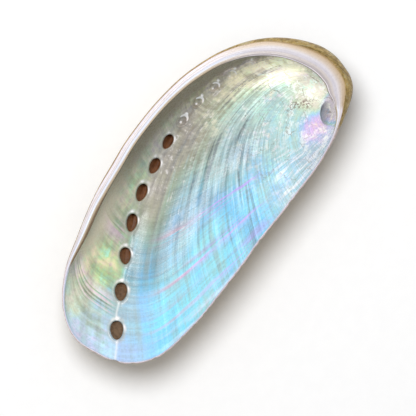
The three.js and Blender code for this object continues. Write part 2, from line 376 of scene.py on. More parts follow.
# ---------------------------------------------------------------- growth, and the fine relief
def noise(seed, x, y):
    """Smooth seeded noise, -1 to 1, that changes over about one unit of x and of y."""
    table = np.random.default_rng(seed).uniform(-1, 1, (256, 256))
    i, j = np.floor(x).astype(int), np.floor(y).astype(int)
    u, v = smoothstep(x - i, 0, 1), smoothstep(y - j, 0, 1)
    i, j, i1, j1 = i % 256, j % 256, (i + 1) % 256, (j + 1) % 256
    near = table[i, j] * (1 - u) + table[i1, j] * u
    far = table[i, j1] * (1 - u) + table[i1, j1] * u
    return near * (1 - v) + far * v


def line_from_row(xy):
    log, turn = polar_about_apex(xy)
    return np.mod(np.degrees(turn - row_angle(log)) + 30, 360) - 30


def margin_table():
    """The growing margin: the logarithm of its radius against the line of growth."""
    margin = silhouette(np.arange(150, 332, 2.0))
    line = line_from_row(margin)
    order = np.argsort(line)
    return line[order], polar_about_apex(margin)[0][order]


MARGIN = margin_table()


def growth(xy):
    """Line and age. The late drift makes the bands of one age run level."""
    line = line_from_row(xy)
    age = polar_about_apex(xy)[0] - np.interp(line, *MARGIN)
    return line, age - LATE_DRIFT * smoothstep(line, 10, 80)


def seam_fade(line):
    """1, but 0 where the lines of growth have gone once round."""
    return smoothstep(line, -30, -22) * (1 - smoothstep(line, 290, 320))


def wavered(line, age):
    """The line of growth with the slow waver that ridges and streaks share."""
    return line + 1.5 * noise(3, age * 4, line / 30)


def ridges(xy):
    """The wavy ridges beside the pore row: -1 in their grooves to 1 on their crests."""
    line, age = growth(xy)
    reach = from_apex(xy)
    wave = wavered(line, age)
    waves = 0.6 * noise(4, wave / 2.6, age * 2.2) + 0.5 * noise(5, wave / 1.3, age * 4)
    side = smoothstep(line, 4, 14) * (1 - smoothstep(line, 50, 84))
    near = smoothstep(reach, 9, 19) * (1 - smoothstep(reach, 26, 46))
    return 1.6 * waves * side * near


def streaks(xy):
    line, age = growth(xy)
    return noise(6, wavered(line, age) / 1.6, age * 4) * seam_fade(line)


def growth_lines(xy):
    line, age = growth(xy)
    return (0.6 * noise(7, age * 55, line / 24) + 0.4 * noise(8, age * 120, line / 12)) * seam_fade(line)


def row_rib(xy):
    """The rib along the bowl's side of the pore row, which ends at the notch."""
    log, _ = polar_about_apex(xy)
    middle = 0.2 + ROW_RIB_SWAY * noise(15, log * 28, log * 0)
    return bell(distance_from_row(xy) - middle, ROW_RIB_WIDTH) * smoothstep(log, -0.75, -0.55)


def fine_relief(xy):
    reach = from_apex(xy)
    calm = smoothstep(reach, 3, 9)
    relief = RIDGE_HEIGHT * ridges(xy) + ROW_RIB_HEIGHT * row_rib(xy)
    return relief + (STREAK_HEIGHT * streaks(xy) + GROWTH_HEIGHT * growth_lines(xy)) * calm


def back_cords(xy):
    """The fine spiral cords and growth folds outside."""
    line, age = growth(xy)
    folds = noise(9, age * 30, line / 30)
    cords = np.cos(np.radians(line) * 70) * (0.6 + 0.4 * noise(10, age * 12, line / 5))
    return (0.7 * cords + 0.6 * folds) * seam_fade(line)


def chipping(degrees):
    """How far the thin outer lip is chipped back from the silhouette, mm."""
    edge = silhouette(degrees)
    sharp = smoothstep(degrees % 360, 150, 172) * (1 - smoothstep(degrees % 360, 322, 334))
    rough = noise(11, *(edge.T / CHIP_LENGTH)) + 0.6 * noise(12, *(edge.T / CHIP_LENGTH * 2.3))
    notch = NOTCH_DEPTH * bell(length(edge - NOTCH_SPOT), NOTCH_WIDTH)
    return CHIP_DEPTH * sharp * np.clip(rough, 0, 1) + notch


# ---------------------------------------------------------------- the mesh
def spine_points():
    """Where each rim point's line from the rim ends: on the spine, the two sides meeting."""
    share = 0.5 - 0.5 * np.cos(np.pi * np.arange(AROUND) / (AROUND // 2))
    return SPINE[0] + (SPINE[1] - SPINE[0]) * share[:, None]


def bowl_rings(edge, rings):
    """Rings 0 (on the spine) to rings - 1 of a bowl whose outermost ring is the given edge."""
    share = np.sin(np.pi / 2 * np.arange(rings) / rings)
    start = spine_points()
    return start[None] + (edge - start)[None] * share[:, None, None]


def lifted(xy, height):
    return np.concatenate([xy, height(xy)[..., None]], -1)


def rim_rings(degrees):
    """The rings from the top of the inside wall over the lip to the widest line outside."""
    level = around(RIM_LEVEL, degrees)
    inner = around(LIP_INNER, degrees)
    chip = chipping(degrees)
    top, edge = wall_top(degrees), inset(degrees, inner)
    collar = inset(degrees, np.maximum(around(LIP_OUTER, degrees), chip + 0.1))
    widest = inset(degrees, chip)
    low, bottom = wall_top_level(degrees), widest_level(degrees)
    wide = smoothstep(inner, 1.2, 2.4)
    rings = []

    def put(xy, z):
        rings.append(np.column_stack([xy, z]))

    put(top, low)
    for ring in range(1, FILLET_RINGS + 1):
        f = ring / FILLET_RINGS
        put(top + (edge - top) * f * f, low + (level - low) * f)
    for ring in range(1, LIP_RINGS + 1):
        f = ring / LIP_RINGS
        xy = edge + (collar - edge) * f
        crown = LIP_CROWN * np.minimum(1, inner / 2) * math.sin(f * math.pi)
        bead = BEAD_HEIGHT * bell(f - 0.1, 0.08) - 0.5 * BEAD_HEIGHT * bell(f - 0.27, 0.08)
        lines = LIP_LINE_HEIGHT * noise(13, f * 7 + xy[:, 0] / 40, xy[:, 1] / 15)
        put(xy, level + crown + (bead + lines * math.sin(f * math.pi)) * wide)
    for ring in range(1, COLLAR_RINGS + 1):
        f = ring / COLLAR_RINGS * math.pi / 2
        put(collar + (widest - collar) * math.sin(f), bottom + (level - bottom) * math.cos(f))
    return np.array(rings)


def laid_flat(xy, rise):
    """A side laid out flat for its picture: steep walls take room outwards."""
    away = xy - POLE
    outward = away / length(away)[..., None].clip(1)
    return xy + outward * (FLATTENING * rise**2)[..., None]


def inside_flat(xy):
    return laid_flat(xy, inside_rise(xy)[0])


def outside_flat(xy):
    return laid_flat(xy, outside_rise(xy)[0])


def rim_flat(rings, degrees):
    """The rim laid out flat, on from the edge of the pearly side."""
    step = length(np.diff(rings, axis=0))
    run = np.concatenate([np.zeros((1, AROUND)), np.cumsum(step, axis=0)])
    start = wall_top(degrees)
    outward = start - POLE
    outward /= np.linalg.norm(outward, axis=-1, keepdims=True)
    return inside_flat(start)[None] + outward[None] * run[..., None]


def pore_outlet(i):
    """The middle of a pore's mouth on the outside, and its size as a share of the inside's."""
    spot = pore_spot(i)
    lean = PORES[i, 4] * pore_axes(i)[0]
    depth = FLOOR_WALL
    for _ in range(6):
        depth = float(inside_height(spot) - outside_height(spot + lean * depth))
    return spot + lean * depth, 1 - PORE_TAPER * depth


def collar_relief(m):
    """The raised pearly collar round a pore, which rounds over into it; m is 1 at its edge."""
    return COLLAR_HEIGHT * bell(m - 1.2, 0.13) - COLLAR_ROUNDING * bell(m - 0.95, 0.1)


def mouth_relief(m):
    """The low rim round a pore outside, where out is down."""
    return MOUTH_ROUNDING * bell(m - 0.96, 0.1) - MOUTH_RIM * bell(m - 1.2, 0.22)


def sealed_relief(m, share):
    """A sealed pore: a thin raised ring round a dimple with a low dome in it."""
    dimple = SEALED_DOME * bell(m, 0.3) - SEALED_DEPTH * (1 - smoothstep(m, 0.35, 1.0))
    return share * (SEALED_RING * bell(m - 1.08, 0.12) + dimple)


def pit_relief(m):
    lip = 0.1 * bell(m - 1.04, 0.06)
    return lip - PIT_DEPTH * (1 - smoothstep(m, 0.15, 1.02))


def loop_round(quads):
    """The edge of a patch of quads, as a list of point numbers in the quads' own direction."""
    edges = set()
    for quad in quads.tolist():
        edges.update(zip(quad, quad[1:] + quad[:1]))
    onward = {a: b for a, b in edges if (b, a) not in edges}
    first = min(onward)
    loop = [first]
    while onward[loop[-1]] != first:
        loop.append(onward[loop[-1]])
    return loop


def zip_rings(outer, inner, points, flip):
    """Triangles between two loops that run the same way round: short edges, and no folds."""
    spot = {k: points[k].tolist() for k in [*outer, *inner]}

    def gap(at):
        return math.dist(spot[outer[at[0]]], spot[inner[at[1]]])

    i, j = min(np.ndindex(len(outer), len(inner)), key=gap)
    outer = [*outer[i:], *outer[: i + 1]]
    inner = [*inner[j:], *inner[: j + 1]]

    def twice_area(a, b, c):
        (ax, ay, _), (bx, by, _), (cx, cy, _) = spot[a], spot[b], spot[c]
        return (bx - ax) * (cy - ay) - (by - ay) * (cx - ax)

    way_round = sum(twice_area(outer[0], a, b) for a, b in zip(outer[:-1], outer[1:]))
    ends = (len(outer) - 1, len(inner) - 1)
    cost, came = {(0, 0): 0.0}, {}
    for at in np.ndindex(len(outer), len(inner)):
        for loop, end in enumerate(ends):
            if at[loop] == end:
                continue
            after = (at[0] + 1 - loop, at[1] + loop)
            moved = inner[after[1]] if loop else outer[after[0]]
            face = (outer[at[0]], moved, inner[at[1]])
            folded = twice_area(*face) * way_round < 0
            total = cost[at] + gap(after) + FOLD_COST * folded
            if total < cost.get(after, math.inf):
                cost[after] = total
                came[after] = (at, face)
    faces = []
    at = ends
    while at != (0, 0):
        at, face = came[at]
        faces.append(face[::-1] if flip else face)
    return faces


PEARL, LIP, RIND, PORE = range(4)  # the kinds of face, in the order of their materials


class ShellMesh:
    """The whole shell's points and faces.

    across: 0 in the bowl, 0 to 1 up to the lip, 1 to 2 over it, 2 to 3 round the collar, 3 outside
    flat, under: the points' places in the flat pictures of the inside and of the outside
    """

    def __init__(self):
        degrees = rim_angles()
        chipped = inset(degrees, chipping(degrees))
        inside = bowl_rings(wall_top(degrees), BOWL_RINGS)
        rim = rim_rings(degrees)
        outside = bowl_rings(chipped, BACK_RINGS)[::-1]
        grid = np.concatenate([lifted(inside, inside_height), rim, lifted(outside, outside_height)])
        across = np.concatenate([
            np.zeros(BOWL_RINGS + 1),
            np.arange(1, FILLET_RINGS + 1) / FILLET_RINGS,
            1 + np.arange(1, LIP_RINGS + 1) / LIP_RINGS,
            2 + np.arange(1, COLLAR_RINGS + 1) / COLLAR_RINGS,
            np.full(BACK_RINGS, 3.0),
        ])
        flat = np.concatenate([inside_flat(inside), rim_flat(rim, degrees), outside * 0])
        under = outside_flat(grid[..., :2])
        index = np.arange(grid.shape[0] * AROUND).reshape(grid.shape[0], AROUND)
        mirror = np.minimum(np.arange(AROUND), AROUND - np.arange(AROUND))
        index[0], index[-1] = index[0][mirror], index[-1][mirror]
        self.points = grid.reshape(-1, 3)
        self.across = np.repeat(across, AROUND)
        self.lip_width = np.tile(around(LIP_INNER, degrees), len(grid))
        self.flat, self.under = flat.reshape(-1, 2), under.reshape(-1, 2)
        a, b = index[:-1], index[1:]
        self.quads = np.stack([a, b, np.roll(b, -1, 1), np.roll(a, -1, 1)], -1).reshape(-1, 4)
        self.ring = np.repeat(np.arange(len(a)), AROUND)
        self.first_back_ring = BOWL_RINGS + len(rim) - 1
        self.faces, self.kinds, self.outside = [], [], []
        for i in range(OPEN_PORES):
            self.open_pore(i)
        for i in range(OPEN_PORES, OPEN_PORES + SEALED_PORES):
            self.seal_pore(i)
        self.sink_pit()
        self.keep_grid()

    def add_faces(self, faces, kind, outside=False):
        self.faces += [tuple(f) for f in faces]
        self.kinds += [kind] * len(faces)
        self.outside += [outside] * len(faces)

    def cut(self, near, outside):
        """Takes the faces of one side of the bowl that touch these points out of the grid."""
        side = self.ring >= self.first_back_ring if outside else self.ring < BOWL_RINGS
        gone = near[self.quads].any(1) & side
        loop = loop_round(self.quads[gone])
        self.quads, self.ring = self.quads[~gone], self.ring[~gone]
        return loop

    def add_rings(self, rings, flat, under, across):
        """Adds rings of points and returns their numbers, one row per ring."""
        first = len(self.points)
        count = len(rings[0])
        self.points = np.concatenate([self.points, *rings])
        self.flat = np.concatenate([self.flat, *flat])
        self.under = np.concatenate([self.under, *under])
        self.across = np.concatenate([self.across, np.repeat(across, count)])
        self.lip_width = np.concatenate([self.lip_width, np.zeros(count * len(rings))])
        return first + np.arange(count * len(rings)).reshape(len(rings), count)

    def bridge(self, rows, kind, outside=False):
        for a, b in zip(rows[:-1], rows[1:]):
            quads = np.stack([a, np.roll(a, -1), np.roll(b, -1), b], -1)
            self.add_faces(quads.tolist(), kind, outside)

    def open_pore(self, i):
        axes, half_sizes, spot = pore_axes(i), pore_half_sizes(i), pore_spot(i)
        outlet, size = pore_outlet(i)
        xy = self.points[:, :2]
        around_it = half_sizes + RING_GAP * (PORE_SURROUND - 1)
        inner_loop = self.cut(share_of_oval(xy, spot, around_it, axes) < 1, False)
        near = share_of_oval(xy, outlet, half_sizes, axes) < MOUTH_SURROUND * size**0.6
        outer_loop = self.cut(near, True)

        def ring_at(m):
            grown = half_sizes + RING_GAP * max(m - 1, 0)
            return spot + oval(PORE_AROUND, grown, axes, PORE_POINT) * min(m, 1)

        offsets = oval(PORE_AROUND, half_sizes, axes, PORE_POINT)
        inside = [ring_at(m) for m in PORE_INSIDE]
        mouth = [outlet + offsets * size * m for m in PORE_OUTSIDE[::-1]]
        rings = [
            np.column_stack([xy, inside_height(xy) + collar_relief(m)])
            for xy, m in zip(inside, PORE_INSIDE)
        ]
        mouth_rings = [
            np.column_stack([xy, outside_height(xy) + mouth_relief(m)])
            for xy, m in zip(mouth, PORE_OUTSIDE[::-1])
        ]
        top, bottom = rings[-1], mouth_rings[0]
        wall = [top + (bottom - top) * step / PORE_WALL for step in range(1, PORE_WALL)]
        shares = np.concatenate([PORE_INSIDE, np.linspace(0.98, 0.4, PORE_WALL + 1)[1:]])
        flat = [inside_flat(ring_at(m)) for m in shares]
        flat += [flat[-1]] * (len(PORE_OUTSIDE) - 1)
        under = [outside_flat(mouth[0])] * (len(shares) - 1) + [outside_flat(xy) for xy in mouth]
        across = [0.0] * (len(shares) - 1) + [3.0] * len(mouth)
        rows = self.add_rings(rings + wall + mouth_rings, flat, under, across)

        last_inside = len(PORE_INSIDE)
        first_mouth = len(shares) - 1
        self.add_faces(zip_rings(inner_loop, rows[0], self.points, False), PEARL)
        self.bridge(rows[:last_inside], PEARL)
        self.bridge(rows[last_inside - 1 : first_mouth + 1], PORE)
        self.bridge(rows[first_mouth : first_mouth + 3], PORE, True)
        self.bridge(rows[first_mouth + 2 :], RIND, True)
        self.add_faces(zip_rings(outer_loop[::-1], rows[-1], self.points, True), RIND, True)

    def closed_patch(self, spot, half_sizes, axes, surround, shares, count, relief, slide):
        """Finer rings in place of an oval of the pearly side, closed in the middle.

        slide is how far aside the rings have moved by the time they reach the middle.
        """
        near = share_of_oval(self.points[:, :2], spot, half_sizes, axes) < surround
        loop = self.cut(near, False)
        offsets = oval(count, half_sizes, axes)
        rings, flat = [], []
        for m in shares:
            moved = spot + slide * (1 - min(m, 1)) + offsets * m
            rings.append(np.column_stack([moved, inside_height(moved) + relief(m)]))
            flat.append(inside_flat(spot + offsets * m))
        middle = np.array([rings[-1].mean(0)])
        under = [outside_flat(ring[:, :2]) for ring in rings]
        rows = self.add_rings(rings, flat, under, [0.0] * len(rings))
        centre = inside_flat(spot[None])
        tip = self.add_rings([middle], [centre], [centre], [0.0])[0, 0]
        self.add_faces(zip_rings(loop, rows[0], self.points, False), PEARL)
        self.bridge(rows, PEARL)
        last = rows[-1]
        self.add_faces(np.stack([last, np.roll(last, -1), last * 0 + tip], -1).tolist(), PEARL)

    def seal_pore(self, i):
        share = SEALED_SHARE[i - OPEN_PORES]
        still = np.zeros(2)
        self.closed_patch(
            pore_spot(i), pore_half_sizes(i), pore_axes(i), SEALED_SURROUND, SEALED_RINGS,
            SEALED_AROUND, lambda m: sealed_relief(m, share), still,
        )

    def sink_pit(self):
        axes = turned_axes(PIT_TURN)
        half_sizes = np.array([PIT_LONG, PIT_WIDE]) / 2
        slide = axes[1] * PIT_WIDE * 0.4
        self.closed_patch(
            PIT_SPOT, half_sizes, axes, PIT_SURROUND, PIT_RINGS, PIT_AROUND, pit_relief, slide
        )

    def keep_grid(self):
        """What is left of the grid. The quads that close up on the spine become triangles."""
        bowl_end = BOWL_RINGS + FILLET_RINGS
        kinds = np.select([self.ring < bowl_end, self.ring < bowl_end + LIP_RINGS], [PEARL, LIP], RIND)
        outside = self.ring >= self.first_back_ring
        for quad, kind, back in zip(self.quads.tolist(), kinds.tolist(), outside.tolist()):
            face = list(dict.fromkeys(quad))
            if len(face) > 2:
                self.add_faces([face], kind, back)


# ---------------------------------------------------------------- where each pearl colour lies
# Soft regions of the pearly side: x, y and reach in mm; the colour's place in the film's order,
# 0 to 1; how strong it is against plain silver; and how light.
BOWL_REGIONS = [
    (-40, -9, 5, 0.7, 0.55, 1.08),  # front tip, lavender-blue
    (-30, -14, 7, 0.58, 0.9, 1.12),  # front of the bowl, sky blue
    (-18, -13, 8, 0.58, 0.75, 1.15),
    (-5, -13, 8, 0.6, 0.8, 1.12),  # middle, blue
    (5, -8, 7, 0.6, 0.75, 0.94),
    (13, -10, 6, 0.6, 0.6, 1.08),
    (14, -18, 5, 0.64, 0.3, 1.25),  # outer margin towards the spire, pale
    (23, -17, 4, 0.66, 0.15, 1.0),
    (-32, -6, 4, 0.64, 0.45, 0.82),  # beside the pores, greyer
    (-21, -2, 5, 0.57, 0.7, 0.5),
    (-3, 4, 6, 0.58, 0.35, 0.64),
    (8, 8, 5, 0.1, 0.06, 0.6),
    (8, -1, 6, 0.57, 0.45, 0.6),
    (-13, -3, 4, 0.58, 0.65, 0.58),
    (-18, 1, 3, 0.57, 0.4, 0.42),
    (-12, 5, 3, 0.45, 0.12, 0.3),
    # Painted shade: the next four regions are made darker to damp the lamp's sheen on the bowl's floor.
    (-7, -2, 3, 0.6, 0.6, 0.42),  # the floor of the bowl, where the light glares
    (0, -2, 3, 0.6, 0.55, 0.42),
    (7, -2.2, 3, 0.58, 0.5, 0.36),
    (13, -2.5, 3, 0.56, 0.3, 0.4),
    (6, -12, 3.5, 0.6, 0.75, 1.45),  # the ridges, silver and mint
    (18, 0, 5, 0.52, 0.2, 0.74),
    (12, 6, 3, 0.3, 0.12, 0.85),
    (17, 8, 4, 0.3, 0.2, 0.98),
    (21, 10, 4, 0.12, 0.45, 0.85),
    (24, 2.5, 2.5, 0.4, 0.3, 1.2),
    (30, 6, 3, 0.13, 0.4, 1.35),
    (30, -2, 2.5, 0.5, 0.3, 0.95),
    (33.5, 3.5, 2.5, 0.13, 0.6, 1.8),
    (28, 7, 3, 0.14, 0.5, 1.15),  # under the lip by the spire, cream
    (35.5, 1, 3.5, 0.13, 0.4, 2.3),
    (34, -6, 3, 0.16, 0.12, 1.12),  # over the spire, near white
    (26, -6, 4, 0.5, 0.35, 1.02),  # mint
    (35.1, -7.5, 2, 0.13, 0.15, 1.7),
    (31.9, -3.8, 1.5, 0.54, 0.4, 1.3),
    (35.6, -14, 1.5, 0.95, 0.1, 1.15),
    (27.2, -13.8, 2.5, 0.95, 0.65, 1.15),  # pink
    (22, -11, 3, 0.5, 0.4, 1.08),
    (19, -7, 4, 0.54, 0.3, 0.8),
]
CANAL_REGIONS = [
    (-43, -3, 4, 0.62, 0.35, 1.3),  # front, lavender and blue
    (-41, 3, 4, 0.66, 0.12, 1.0),
    (-37, 8, 4, 0.2, 0.15, 1.05),
    (-34, 2, 4, 0.55, 0.25, 0.85),
    (-27, 8, 5, 0.24, 0.85, 0.88),  # yellow-green
    (-18, 9, 5, 0.27, 0.5, 0.72),
    (-10, 14, 5, 0.25, 0.6, 0.8),  # olive
    (6, 15, 6, 0.12, 0.3, 0.7),
    (-31, 14.5, 3, 0.1, 0.15, 1.15),
    (22, 14, 6, 0.1, 0.65, 0.6),  # under the lip, grey-brown
    (31, 10, 5, 0.03, 0.8, 0.74),
]
FLANK_LOOK = (0.07, 0.25, 0.54)  # the plain silver strip beside the pores
FILM_ORDER = [
    (0.0, (232, 205, 200)), (0.14, (232, 222, 176)), (0.28, (188, 218, 160)),
    (0.42, (172, 228, 205)), (0.54, (130, 215, 228)), (0.66, (125, 198, 245)),
    (0.78, (168, 180, 248)), (0.9, (222, 178, 235)), (1.0, (232, 205, 200)),
]
SPIRE_TINTS = [
    (0.0, (188, 240, 220)), (0.3, (226, 242, 234)), (0.5, (255, 252, 246)), (0.7, (240, 222, 242)),
    (1.0, (252, 238, 206)),
]
# The lip's colours from its inner edge to its outer, by how wide it is there. The brown stops at the
# inner edge are partly painted shade, where the wall drops away under the lip.
LIP_NARROW = [
    (0.0, (116, 94, 68)), (0.1, (176, 158, 130)), (0.22, (198, 182, 160)), (0.29, (236, 240, 252)),
    (0.42, (226, 232, 250)), (0.5, (206, 194, 192)), (0.58, (234, 230, 238)), (0.68, (208, 192, 182)),
    (0.74, (236, 230, 236)), (0.9, (226, 218, 224)), (0.96, (170, 138, 108)), (1.0, (150, 116, 84)),
]
LIP_WIDE = [
    (0.0, (140, 116, 98)), (0.03, (226, 214, 214)), (0.07, (238, 232, 238)), (0.105, (164, 152, 152)),
    (0.18, (176, 168, 170)), (0.27, (196, 186, 180)), (0.4, (198, 193, 202)), (0.58, (204, 198, 202)),
    (0.76, (202, 184, 164)), (0.9, (192, 168, 138)), (0.96, (172, 146, 104)), (1.0, (148, 118, 70)),
]
LIP_THIN = [(0.0, (190, 205, 225)), (0.4, (228, 222, 238)), (1.0, (226, 206, 206))]
RIND_TONES = [
    (0.0, (78, 56, 26)), (0.3, (142, 112, 56)), (0.5, (178, 148, 82)), (0.7, (202, 174, 108)),
    (1.0, (230, 212, 160)),
]
# Painted highlights: the side of an open pore's collar where one is painted, and the spot of a sealed
# pore's painted glint.
PAINTED_HIGHLIGHT_TURN = math.radians(5)  # the side of a pore's collar that shines
SEALED_GLINT = np.array([-0.5, 0.1])  # where a sealed pore's dimple glints, in its own widths
PIT_DOT = np.array([33.6, -14.3])
SCAR_SPOT, SCAR_SIZE, SCAR_TURN = np.array([31.6, -8.2]), np.array([3.2, 1.4]), math.radians(-50)


def blend_regions(xy, regions):
    table = np.array(regions, float)
    away = length(xy[:, None] - table[None, :, :2])
    weight = bell(away, table[:, 2]) + 1e-9
    return weight @ table[:, 3:] / weight.sum(1, keepdims=True)


def pearl_look(xy):
    """Film, strength and lightness at each point. The pore row parts the canal from the bowl."""
    behind = smoothstep(line_from_row(xy), 60, 90)
    beside = distance_from_row(xy)
    side = np.maximum(smoothstep(beside, -1.2, 0.9), behind)[:, None]
    reach = from_apex(xy)
    flank = (1 - smoothstep(beside, 3, 8)) * (1 - smoothstep(reach, 46, 56)) * (1 - behind)
    flank *= smoothstep(reach, 22, 36)
    bowl = blend_regions(xy, BOWL_REGIONS)
    bowl += (np.array(FLANK_LOOK) - bowl) * flank[:, None]
    return blend_regions(xy, CANAL_REGIONS) * (1 - side) + bowl * side


def about_pore(xy, i):
    """From a pore's middle: the way there, its share of the pore's size, and how it faces the painted
    highlight.
    """
    away = xy - pore_spot(i)
    m = share_of_oval(xy, pore_spot(i), pore_half_sizes(i), pore_axes(i))
    return away, m, np.cos(np.arctan2(away[:, 1], away[:, 0]) - PAINTED_HIGHLIGHT_TURN)


def pore_collars(xy):
    """Round the open pores: the collar, and a painted highlight on one side of it."""
    collar, gleam = np.zeros(len(xy)), np.zeros(len(xy))
    for i in range(OPEN_PORES):
        away, m, facing = about_pore(xy, i)
        ragged = 0.5 + 0.5 * noise(14, *(away.T * 1.3))
        collar += bell(m - 1.15, 0.3)
        lit = 0.05 + 1.5 * ragged * smoothstep(facing, 0.1, 0.95)
        gleam += bell(m - 1.26, 0.15 + 0.1 * ragged) * lit
    return collar, gleam


def sealed_marks(xy):
    """Round the sealed pores: painted highlights, and below 0 painted shade in the dimple; and the brown
    ring, partly painted shade.
    """
    painted_shine_and_shade, brown = np.zeros(len(xy)), np.zeros(len(xy))
    for i, share in zip(range(OPEN_PORES, OPEN_PORES + SEALED_PORES), SEALED_SHARE):
        size = pore_half_sizes(i)[1]
        away, m, facing = about_pore(xy, i)
        crescent = bell(m - 0.82, 0.17) * smoothstep(facing, 0.1, 0.8)
        glint = bell(length(away - SEALED_GLINT * size), 0.3 * size)
        beyond = np.array([math.cos(PAINTED_HIGHLIGHT_TURN), math.sin(PAINTED_HIGHLIGHT_TURN)]) * 1.75 * size
        trail = bell(length(away - beyond), 0.35 * size)
        dimple_shade = (1 - smoothstep(m, 0.7, 1.0)) * 0.35
        painted_shine_and_shade += share * (1.5 * crescent + 1.7 * glint - dimple_shade) + 0.9 * trail
        # The brown ring, partly painted shade: darker on the side away from the painted highlights.
        brown += 0.55 * share * bell(m - 1.1, 0.14) * (1 - 0.8 * smoothstep(facing, -0.3, 0.6))
    return painted_shine_and_shade, brown


def pit_shade(xy):
    """Painted shade: 1 in the deep, shaded side of the spire's pit, fading over its shallow side."""
    axes = turned_axes(PIT_TURN)
    m = share_of_oval(xy, PIT_SPOT, np.array([PIT_LONG, PIT_WIDE]) / 2, axes)
    across = (xy - PIT_SPOT) @ axes[1] / PIT_WIDE
    return (1 - smoothstep(m, 0.92, 1.04)) * smoothstep(across, -0.25, 0.25)


def stains(xy):
    """Brown: the dot in the pit, and the curl of beige round it."""
    away = xy - PIT_DOT
    reach = length(away)
    turn = np.mod(np.arctan2(away[:, 1], away[:, 0]) - PIT_TURN, 2 * math.pi)
    curl = bell(reach - 0.5 - 0.22 * turn, 0.3) * (1 - smoothstep(turn, 4.0, 5.5))
    return bell(reach, 0.3) + 0.35 * curl


def scars(xy):
    """1 in the pitted old nacre beside the spire's pit."""
    along = (xy - SCAR_SPOT) @ turned_axes(SCAR_TURN).T
    return bell(length(along / SCAR_SIZE), 1.0)


def write_attributes(mesh, raw):
    """What the materials read, point by point."""
    xy = raw.points[:, :2]
    line, age = growth(xy)
    turn = np.radians(wavered(line, age))
    reach = from_apex(xy)
    collar, gleam = pore_collars(xy)
    # Painted highlight along the rib that links the pores, stronger towards the front.
    gleam = gleam + (0.15 + 0.5 * smoothstep(reach, 60, 72)) * row_rib(xy)
    painted_shine_and_shade, brown = sealed_marks(xy)
    vectors = {
        "growth": (np.cos(turn), np.sin(turn), age),
        "look": pearl_look(xy).T,
        "place": (scars(xy), reach, raw.across),
        # The relief vector carries the sealed pores' painted highlights and shade and the pit's painted
        # shade; pores carries the collars' painted highlights.
        "relief": (ridges(xy), painted_shine_and_shade, pit_shade(xy)),
        "pores": (collar, gleam, raw.lip_width),
        # Stains, and the sealed pores' brown rings, which are partly painted shade.
        "line": (line, bowl_coordinates(xy, INSIDE_EDGE)[1], stains(xy) + 0.8 * brown),
    }
    for name, values in vectors.items():
        data = mesh.attributes.new(name, "FLOAT_VECTOR", "POINT").data
        data.foreach_set("vector", np.stack(values, -1).astype(np.float32).ravel())


# ---------------------------------------------------------------- materials
def srgb(red, green, blue):
    """A colour given as 0 to 255, made linear."""
    share = np.array([red, green, blue]) / 255
    linear = np.where(share < 0.04045, share / 12.92, ((share + 0.055) / 1.055) ** 2.4)
    return (*linear.tolist(), 1.0)


